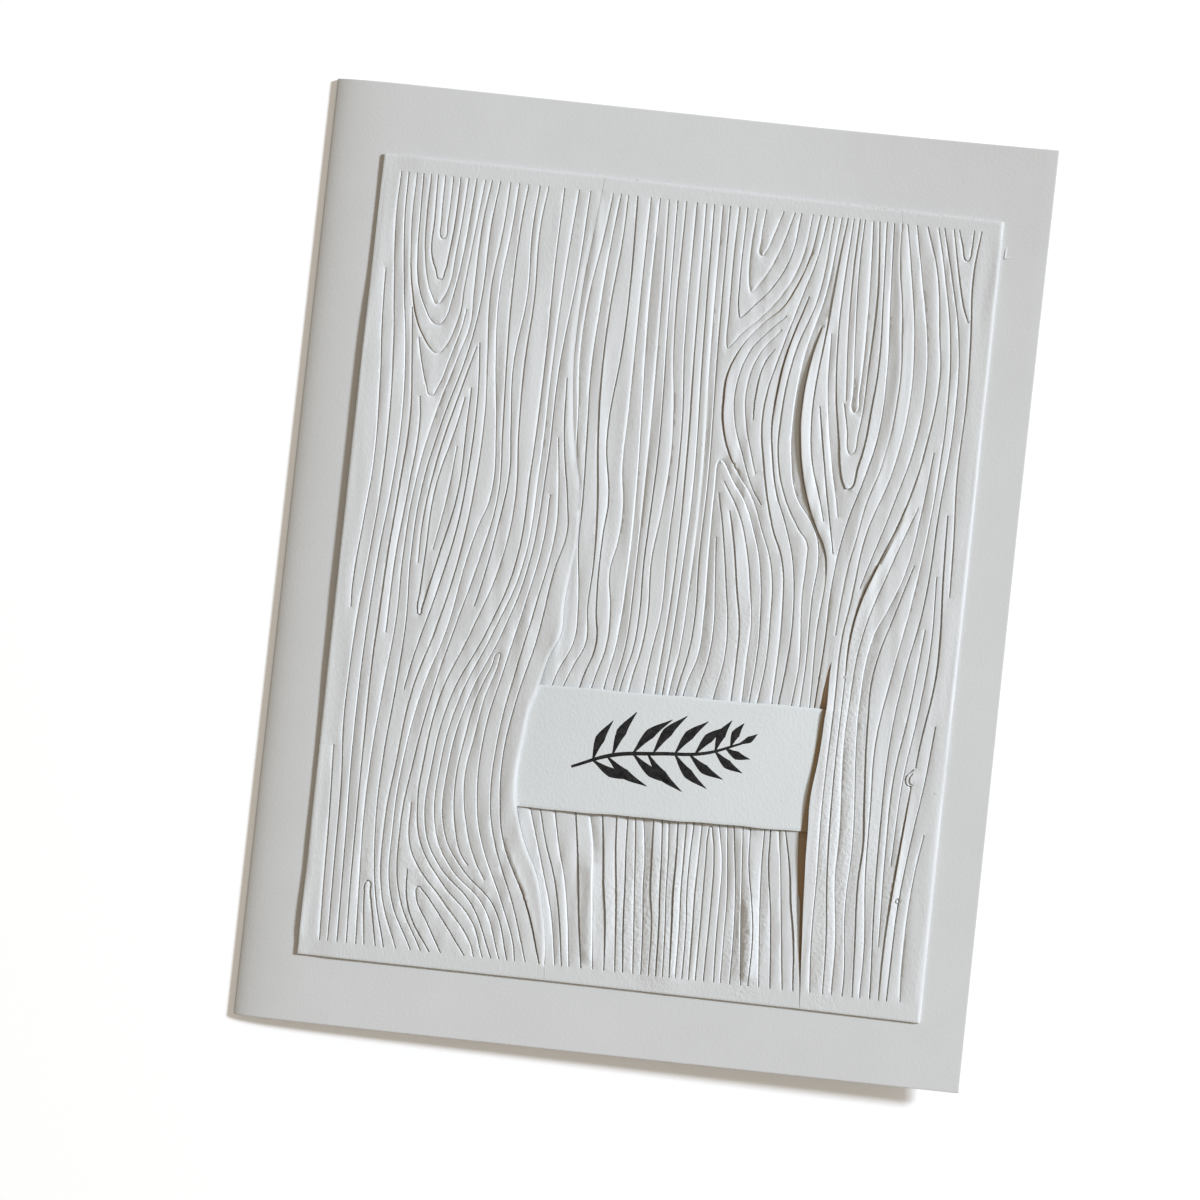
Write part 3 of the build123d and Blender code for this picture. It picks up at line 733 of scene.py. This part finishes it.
# its outer border is pressed thin, but for the middle of its height: places and shares
thin = {
    "amount": 0.20,
    "across": ((10.0, 13.5), (1, 0)),
    "along": ((10, 40, 65, 100, 112), (1, 1, 0, 0, 1)),
}
spots = readPoints(leftStrip)
x, y = drawnAt(spots)
share = np.interp(x, *thin["across"]) * np.interp(y, *thin["along"])
lowest = (strip["thinnest"] - strip["stock"]) * mm
spots[:, 2] = np.maximum(spots[:, 2] - thin["amount"] * mm * share, lowest)
writePoints(leftStrip, spots)
closeBack(leftStrip)
rideUp(leftStrip, onCard(leftEdge[0][0], 0)[0], leftRise, leftRide)
shutCut = partOf(rightCut, slitTop, 127)
# both edges of the shut cut stand up a little
ridges = [(partOf(rightCut, low, high), 1.9, -0.05) for low, high in ((68, 122), (76, 112), (82, 106))]
middleHills = ridges + [
    ([(51.2, 14.8), (50.65, 20), (50.3, 24), (49.9, 28)], 2.2, -0.18),
    ([(51.2, 13.9), (50.65, 20), (50.3, 24), (49.95, 27)], 1.2, -0.24),
    ([(74.6, 14.8), (74.35, 20), (73.85, 24), (73.3, 28), (72.8, 33)], 2.2, -0.22),
    ([(74.6, 13.9), (74.35, 20), (73.85, 24)], 1.2, -0.27),
    ([(62.5, 14), (62, 22), (61.5, 30)], 5.0, -0.28),
]
middleRims = [(part, 0.45, 0.045) for part in cutParts] + [(shutCut, 0.20, 0.16)]
middleStrip = pressStrip("middleStrip", middleLeft, middleRight, middleGrain, middleLips, middleRims,
                         middleHills)
closeBack(middleStrip)
rightHills = ridges + [([(96.35, 45.6), (96.4, 44.9)], 0.7, -0.12)]
rightRims = [(shutCut, 0.09, 0.16), (rightEdge, 0.30, 0.18)]
rightStrip = pressStrip("rightStrip", rightCut, rightEdge, rightGrain, rightLips, rightRims, rightHills)
closeBack(rightStrip)
rideUp(rightStrip, onCard(rightEdge[0][0], 0)[0], rightRise, rightRide)
for obj in (leftStrip, middleStrip, rightStrip):
    spots = readPoints(obj)
    spots[:, 2] += curlUp(spots)
    writePoints(obj, spots)
    putInPlace(obj, leafPlace())
print("strips in place")


# a flat grid, one by one, to be shaped
def gridSheet(name, columns, rows):
    deselect()
    bpy.ops.mesh.primitive_grid_add(x_subdivisions=columns, y_subdivisions=rows, size=1)
    obj = active()
    obj.name = name
    obj.data.name = name
    return obj


# gives a shaped grid its stock, upwards or downwards, and rounds its edges
def thicken(obj, stock, way, even, edgeRound, segments):
    wall = obj.modifiers.new("wall", "SOLIDIFY")
    wall.thickness = stock * mm
    wall.offset = way
    wall.use_even_offset = even
    soften = obj.modifiers.new("soften", "BEVEL")
    soften.limit_method = "ANGLE"
    soften.angle_limit = math.radians(60)
    soften.width = edgeRound * mm
    soften.segments = segments
    applyAll(obj)
    bpy.ops.object.shade_smooth_by_angle(angle=math.radians(40))


# the folded sheet: back leaf, tight crease, and a front leaf that springs up from it
sheet = {
    "backCells": 40,
    "creaseCells": 16,
    "rows": 64,
    "edgeRound": 0.10,
    "edgeRow": 0.3,  # the outermost mesh rows stand close to the edge, so only that is rounded
    # extra slope at the crease in degrees, and how soon it fades
    "spring": ((11.0, 5.0), (12.0, 0.9)),
    # the front leaf's open edge falls short, at its foot and its top
    "frontShort": (0.70, 0.30),
}


def foldPath():
    half = card["width"] / 2
    edge = sheet["edgeRow"]
    opened = math.tan(math.radians(card["openingAngle"]))
    steep = card["openingAngle"] + sum(slope for slope, fade in sheet["spring"])
    run = np.concatenate([np.linspace(0, 2, 16), np.linspace(2, 14, 25)[1:],
                          np.linspace(14, 2 * half, 44)[1:-1], [2 * half - edge, 2 * half]])
    rise = run * opened
    for slope, fade in sheet["spring"]:
        rise = rise + math.radians(slope) * fade * (1 - np.exp(-run / fade))
    frontFoot = card["leafHeight"] - rise[-1] + half * opened
    tight = frontFoot / (1 + math.cos(math.radians(steep)))
    backRun = np.concatenate([[half, half - edge], np.linspace(half - 2.7, tight - half, sheet["backCells"])])
    back = np.column_stack([backRun, np.zeros(len(backRun))])
    turns = np.radians(np.linspace(270, 90 + steep, sheet["creaseCells"] + 1)[1:])
    crease = np.column_stack([tight - half + tight * np.cos(turns), tight + tight * np.sin(turns)])
    front = np.column_stack([crease[-1, 0] + run * (half - crease[-1, 0]) / run[-1], frontFoot + rise])[1:]
    return np.vstack([back, crease, front]), len(back) + len(crease)


path, frontStart = foldPath()
cardSheet = gridSheet("cardSheet", len(path) - 1, sheet["rows"])
spots = readPoints(cardSheet)
place = np.rint((spots[:, 0] + 0.5) * (len(path) - 1)).astype(int)
heights = np.linspace(-0.5, 0.5, sheet["rows"] + 1)
heights[1] = heights[0] + sheet["edgeRow"] / card["height"]
heights[-2] = heights[-1] - sheet["edgeRow"] / card["height"]
spots[:, 1] = heights[np.rint((spots[:, 1] + 0.5) * sheet["rows"]).astype(int)]
upShare = spots[:, 1] + 0.5
spots[:, 0] = path[place, 0] * mm
spots[:, 1] *= card["height"] * mm
spots[:, 2] = path[place, 1] * mm
onFront = place >= frontStart
spots[:, 2] += np.where(onFront, curlUp(spots), 0)
outward = np.clip(path[place, 0] / card["width"] + 0.5, 0, 1)
spots[:, 0] -= np.where(onFront, outward ** 6 * np.interp(upShare, [0, 1], sheet["frontShort"]) * mm, 0)
writePoints(cardSheet, spots)
thicken(cardSheet, card["stock"], -1, True, sheet["edgeRound"], 3)
print("card sheet folded")


# the label, hand cut, arched a little over the middle strip with its ends tucked in
def labelArch(x):
    return label["arch"] * mm * (1 - (x / mm / labelWide * 2) ** 2)


labelSheet = gridSheet("labelSheet", *label["cells"])
spots = readPoints(labelSheet)
u = spots[:, 0].copy()
v = spots[:, 1].copy()
wobble = sum(size * np.sin(u * rate + start) for size, rate, start in label["wobble"])
spots[:, 0] = u * labelWide * mm
spots[:, 1] = (v * (label["height"] - label["trim"]) + wobble * v * 2) * mm
spots[:, 2] = labelArch(spots[:, 0])
writePoints(labelSheet, spots)
thicken(labelSheet, label["stock"], 1, False, label["edgeRound"], 2)
labelX, labelY = onCard(labelMiddleX, label["middle"])
labelSpot = Matrix.Translation((labelX, labelY, strip["stock"] * mm)) @ Matrix.Rotation(turn, 4, "Z")
putInPlace(labelSheet, leafPlace() @ labelSpot)
print("label cut")

# torn flecks of paper: place, length, width, turn in degrees, and height above the leaf
flecks = [
    (101.75, 123.7, 2.4, 0.34, 82, 0.0), (102.1, 123.1, 0.9, 0.30, 8, 0.0),
    (99.65, 43.3, 0.45, 0.35, 40, 0.45), (81.45, 52.7, 0.6, 0.30, 25, 0.68),
    (84.57, 59.0, 0.35, 0.28, 0, 0.52), (81.0, 58.6, 0.35, 0.25, 60, 0.45),
]
fleck = {"thickness": 0.10, "ragged": 0.35, "seed": 5}
fleckRng = np.random.default_rng(fleck["seed"])
scraps = []
for x, y, length, width, turned, height in flecks:
    deselect()
    bpy.ops.mesh.primitive_ico_sphere_add(subdivisions=2, radius=1)
    scrap = active()
    spots = readPoints(scrap)
    spots *= 1 + fleckRng.uniform(-fleck["ragged"], fleck["ragged"], (len(spots), 1))
    spots *= np.array([length / 2, width / 2, fleck["thickness"]]) * mm
    writePoints(scrap, spots)
    px, py = onCard(x, y)
    up = height * mm + curlUp(np.array([[px, py, 0.0]]))[0]
    spun = Matrix.Rotation(math.radians(turned), 4, "Z")
    putInPlace(scrap, leafPlace() @ Matrix.Translation((px, py, up)) @ spun)
    scraps.append(scrap)
deselect()
for scrap in scraps:
    scrap.select_set(True)
bpy.context.view_layer.objects.active = scraps[0]
bpy.ops.object.join()
paperFlecks = active()
paperFlecks.name = "paperFlecks"
paperFlecks.data.name = "paperFlecks"
print("flecks torn")

# a brush drawn leafy sprig on the label, in mm from the card's lower left corner
sprig = {
    "stem": [(45.6, 41.6), (51.5, 43.9), (58, 44.8), (65, 45.6), (70.3, 47.6)],
    "stemWidths": [0.20, 0.30, 0.28, 0.24, 0.16],
    "leafSpots": [0.10, 0.22, 0.34, 0.46, 0.58, 0.70, 0.82, 0.92],
    "leafLengths": [6.6, 7.4, 7.8, 7.6, 7.0, 6.2, 5.2, 4.0],
    "leafTurn": 52.0,
    "leafSway": 6.0,
    "leafBend": 16.0,
    "leafWidth": 0.70,
    "rootWidth": 0.10,
    "tipWidth": 0.05,
    "inkHeight": 0.012,
    "flatness": 0.1,
}
inkCurve = newCurve("inkSprig")
inkCurve.bevel_depth = mm
inkCurve.bevel_resolution = 2
inkCurve.use_fill_caps = True
addStroke(inkCurve, sprig["stem"], sprig["stemWidths"])
stem = linePoints(sprig["stem"], 0.2) + (card["width"] / 2, card["height"] / 2)
for number, (share, length) in enumerate(zip(sprig["leafSpots"], sprig["leafLengths"])):
    here = int(share * (len(stem) - 2))
    root = stem[here]
    run = stem[here + 1] - stem[here]
    for side in (-1, 1):
        if number % 2 == (side + 1) // 2:
            root = stem[min(here + 4, len(stem) - 2)]
        turned = sprig["leafTurn"] + sprig["leafSway"] * math.sin(number * 2.3)
        lean = math.atan2(run[1], run[0]) + side * math.radians(turned)
        tipLean = lean - side * math.radians(sprig["leafBend"])
        mid = root + length * 0.5 * np.array([math.cos(lean), math.sin(lean)])
        tip = mid + length * 0.5 * np.array([math.cos(tipLean), math.sin(tipLean)])
        wide = sprig["leafWidth"] * (0.75 + length / 24)
        addStroke(inkCurve, [root, mid, tip], [sprig["rootWidth"], wide, sprig["tipWidth"]])
addStroke(inkCurve, [stem[-2], stem[-1] + (1.2, 0.7), stem[-1] + (2.3, 1.6)], [0.12, 0.5, 0.05])
inkSprig = curveMesh("inkSprig", inkCurve)
inkSprig.name = "inkSprig"
# the strokes' ends are joined to their sides
bpy.ops.object.mode_set(mode="EDIT")
bpy.ops.mesh.select_all(action="SELECT")
bpy.ops.mesh.remove_doubles(threshold=1e-8)
bpy.ops.object.mode_set(mode="OBJECT")
spots = readPoints(inkSprig)
spots[:, 2] = np.clip(spots[:, 2] / mm * sprig["flatness"], -sprig["inkHeight"], sprig["inkHeight"]) * mm
spots[:, 2] += (rideHeight + sprig["inkHeight"] / 2) * mm + labelArch(spots[:, 0] - labelX)
writePoints(inkSprig, spots)
bpy.ops.object.shade_smooth_by_angle(angle=math.radians(40))
putInPlace(inkSprig, leafPlace())
print("sprig inked")


# a node of a material, with values for some inputs and links into others
def addNode(tree, kind, values, linked):
    node = tree.nodes.new("ShaderNode" + kind)
    for key, value in values.items():
        node.inputs[key].default_value = value
    for key, output in linked.items():
        tree.links.new(output, node.inputs[key])
    return node


def newMaterial(name, roughness, shine):
    mat = bpy.data.materials.new(name)
    mat.use_nodes = True
    skin = mat.node_tree.nodes["Principled BSDF"]
    skin.inputs["Roughness"].default_value = roughness
    skin.inputs["Specular IOR Level"].default_value = shine
    return mat, mat.node_tree, skin


def placeOf(tree):
    return tree.nodes.new("ShaderNodeTexCoord").outputs["Object"]


def noise(tree, place, scale, detail, roughness=0.5):
    values = {"Scale": scale, "Detail": detail, "Roughness": roughness}
    return addNode(tree, "TexNoise", values, {"Vector": place}).outputs["Fac"]


def twoTones(tree, value, marks, shades):
    tones = addNode(tree, "ValToRGB", {}, {"Fac": value})
    for element, mark, shade in zip(tones.color_ramp.elements, marks, shades):
        element.position = mark
        element.color = list(shade) + [1]
    return tones.outputs["Color"]


def combine(tree, operation, one, other):
    both = addNode(tree, "Math", {}, {0: one, 1: other})
    both.operation = operation
    return both.outputs[0]


def attribute(tree, name):
    node = tree.nodes.new("ShaderNodeAttribute")
    node.attribute_name = name
    return node.outputs["Fac"]


# pattern sizes are noise scales, and heights are in metres
paper = {
    "roughness": 0.82,
    "shine": 0.25,
    "turn": 0.5,
    "mottle": 120,
    "mottleDark": 0.965,
    "fibre": 2700,
    "fibreHeight": 0.0001,
    "dents": 1900,
    "dentHeight": 0.00016,
}


# matt card stock: faint mottling, fine fibre, a little tooth, dents where it is crumpled,
# and brown painted shade, mixed in by a mask, where it is split or in deep shadow
def cardStock(name, shade, tooth, lean, paintedShadeMask, paintedShadeColour):
    mat, tree, skin = newMaterial(name, paper["roughness"], paper["shine"])
    place = placeOf(tree)
    laid = {"Rotation": (0, 0, paper["turn"]), "Scale": (1.0, lean, 1.0)}
    along = addNode(tree, "Mapping", laid, {"Vector": place}).outputs["Vector"]
    mottle = noise(tree, along, paper["mottle"], 5, 0.6)
    darker = [c * paper["mottleDark"] for c in shade]
    shadeMix = tree.nodes.new("ShaderNodeMix")
    shadeMix.data_type = "RGBA"
    shadeMix.inputs[7].default_value = list(paintedShadeColour) + [1]
    tree.links.new(twoTones(tree, mottle, (0.3, 0.7), (darker, shade)), shadeMix.inputs[6])
    tree.links.new(paintedShadeMask(tree, place), shadeMix.inputs[0])
    tree.links.new(shadeMix.outputs[2], skin.inputs["Base Color"])
    fibre = noise(tree, along, paper["fibre"], 4, 0.6)
    rough = addNode(tree, "Bump", {"Strength": tooth, "Distance": paper["fibreHeight"]}, {"Height": fibre})
    dented = addNode(tree, "Bump", {"Distance": paper["dentHeight"]}, {
        "Strength": attribute(tree, "crumple"),
        "Height": noise(tree, place, paper["dents"], 2),
        "Normal": rough.outputs["Normal"],
    })
    tree.links.new(dented.outputs["Normal"], skin.inputs["Normal"])
    return mat


# brown painted shade down the split lines of a strip
def crackPaintedShade(tree, place):
    return attribute(tree, "crackShade")


# a soft step along one axis of the card, in mm from its middle
def softStep(tree, place, axis, start, end, lean=0.0):
    turned = addNode(tree, "Mapping", {"Rotation": (0, 0, lean)}, {"Vector": place})
    apart = addNode(tree, "SeparateXYZ", {}, {"Vector": turned.outputs["Vector"]})
    span = {"From Min": start * mm, "From Max": end * mm}
    return addNode(tree, "MapRange", span, {"Value": apart.outputs[axis]}).outputs["Result"]


# painted shadow on the leaf below the open slit, along x and y: where it starts, is full, is full still and
# ends
slitShadowSpan = ((25.0, 25.5, 30.5, 31.0), (-59.0, -57.0, -9.0, -8.0))


def slitPaintedShadow(tree, place):
    shares = []
    for axis, (start, full, still, end) in enumerate(slitShadowSpan):
        before = softStep(tree, place, axis, start, full)
        after = softStep(tree, place, axis, end, still)
        shares.append(combine(tree, "MULTIPLY", before, after))
    return combine(tree, "MULTIPLY", *shares)


# painted shadow of the right strip on the end of the label that goes into the slit
labelShadowSpan = {"start": 28.57, "full": 28.73, "slope": 0.0768}


def labelPaintedShadow(tree, place):
    lean = math.atan(labelShadowSpan["slope"])
    return softStep(tree, place, 0, labelShadowSpan["start"], labelShadowSpan["full"], lean)


# black brush ink, a little uneven where it lies thin
def brushInk(name):
    mat, tree, skin = newMaterial(name, 0.6, 0.2)
    patch = noise(tree, placeOf(tree), 1400, 5)
    shades = ((0.008, 0.008, 0.009), (0.035, 0.033, 0.032))
    tree.links.new(twoTones(tree, patch, (0.35, 0.75), shades), skin.inputs["Base Color"])
    return mat


# each stock's last colour is the brown of its painted shade
baseStock = cardStock("baseStock", (0.655, 0.662, 0.662), 0.25, 0.9, slitPaintedShadow, (0.56, 0.41, 0.27))
panelStock = cardStock("panelStock", (0.668, 0.680, 0.684), 0.42, 0.55, crackPaintedShade, (0.36, 0.28, 0.19))
labelStock = cardStock("labelStock", (0.71, 0.74, 0.747), 0.42, 0.7, labelPaintedShadow, (0.41, 0.31, 0.21))
inkBlack = brushInk("inkBlack")


def dress(obj, mat):
    obj.data.materials.clear()
    obj.data.materials.append(mat)


outfits = (
    (cardSheet, "card_base", "card_stock", baseStock),
    (leftStrip, "left_panel", "panel_stock", panelStock),
    (middleStrip, "middle_panel", "panel_stock", panelStock),
    (rightStrip, "right_panel", "panel_stock", panelStock),
    (labelSheet, "label", "label_stock", labelStock),
)
for obj, node, slot, mat in outfits:
    dress(obj, mat)
    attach(obj, "root")
    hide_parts(node)
for obj, slot, mat in ((inkSprig, "label_stock", inkBlack), (paperFlecks, "panel_stock", panelStock)):
    dress(obj, mat)
    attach(obj, "root")
print("pieces dressed")

# floor
deselect()
bpy.ops.mesh.primitive_plane_add(size=6)
floor = active()
floor.name = "floor"
floorMat, floorTree, floorSkin = newMaterial("paleFloor", 0.9, 0.5)
floorSkin.inputs["Base Color"].default_value = (0.94, 0.94, 0.94, 1)
floorSkin.inputs["Emission Color"].default_value = (1, 1, 1, 1)
# seen directly, or in a reflection, the floor is white, and it keeps the card's shadow
seen = floorTree.nodes.new("ShaderNodeLightPath").outputs
either = combine(floorTree, "MAXIMUM", seen["Is Camera Ray"], seen["Is Glossy Ray"])
through = combine(floorTree, "MAXIMUM", either, seen["Is Transmission Ray"])
glow = addNode(floorTree, "Math", {1: 0.14}, {0: through})
glow.operation = "MULTIPLY"
floorTree.links.new(glow.outputs[0], floorSkin.inputs["Emission Strength"])
dress(floor, floorMat)

# light: one soft window from the right and above, warm fill all round
elevation = math.radians(light["elevation"])
aim = Vector((*(math.cos(elevation) * windowWay), math.sin(elevation)))
windowData = bpy.data.lights.new("window", "AREA")
windowData.shape = "DISK"
windowData.size = light["size"]
windowData.energy = light["power"]
windowData.color = light["shade"]
window = addObject("window", windowData)
window.location = aim * light["distance"]
window.rotation_euler = aim.to_track_quat("Z", "Y").to_euler()
world = bpy.data.worlds.new("fill")
world.use_nodes = True
sky = world.node_tree.nodes["Background"]
sky.inputs["Color"].default_value = light["fillShade"]
sky.inputs["Strength"].default_value = light["fill"]
scene.world = world

# camera, nearly straight above, turned as the photo is
view = {"place": (-12.36, -14.28, 350.0), "turn": (1.677, -1.11, 6.13), "lens": 70.58}
camData = bpy.data.cameras.new("camera")
camData.lens = view["lens"]
camData.sensor_width = 36
camData.clip_start = 0.01
cam = addObject("camera", camData)
cam.location = [v * mm for v in view["place"]]
cam.rotation_euler = [math.radians(v) for v in view["turn"]]
scene.camera = cam
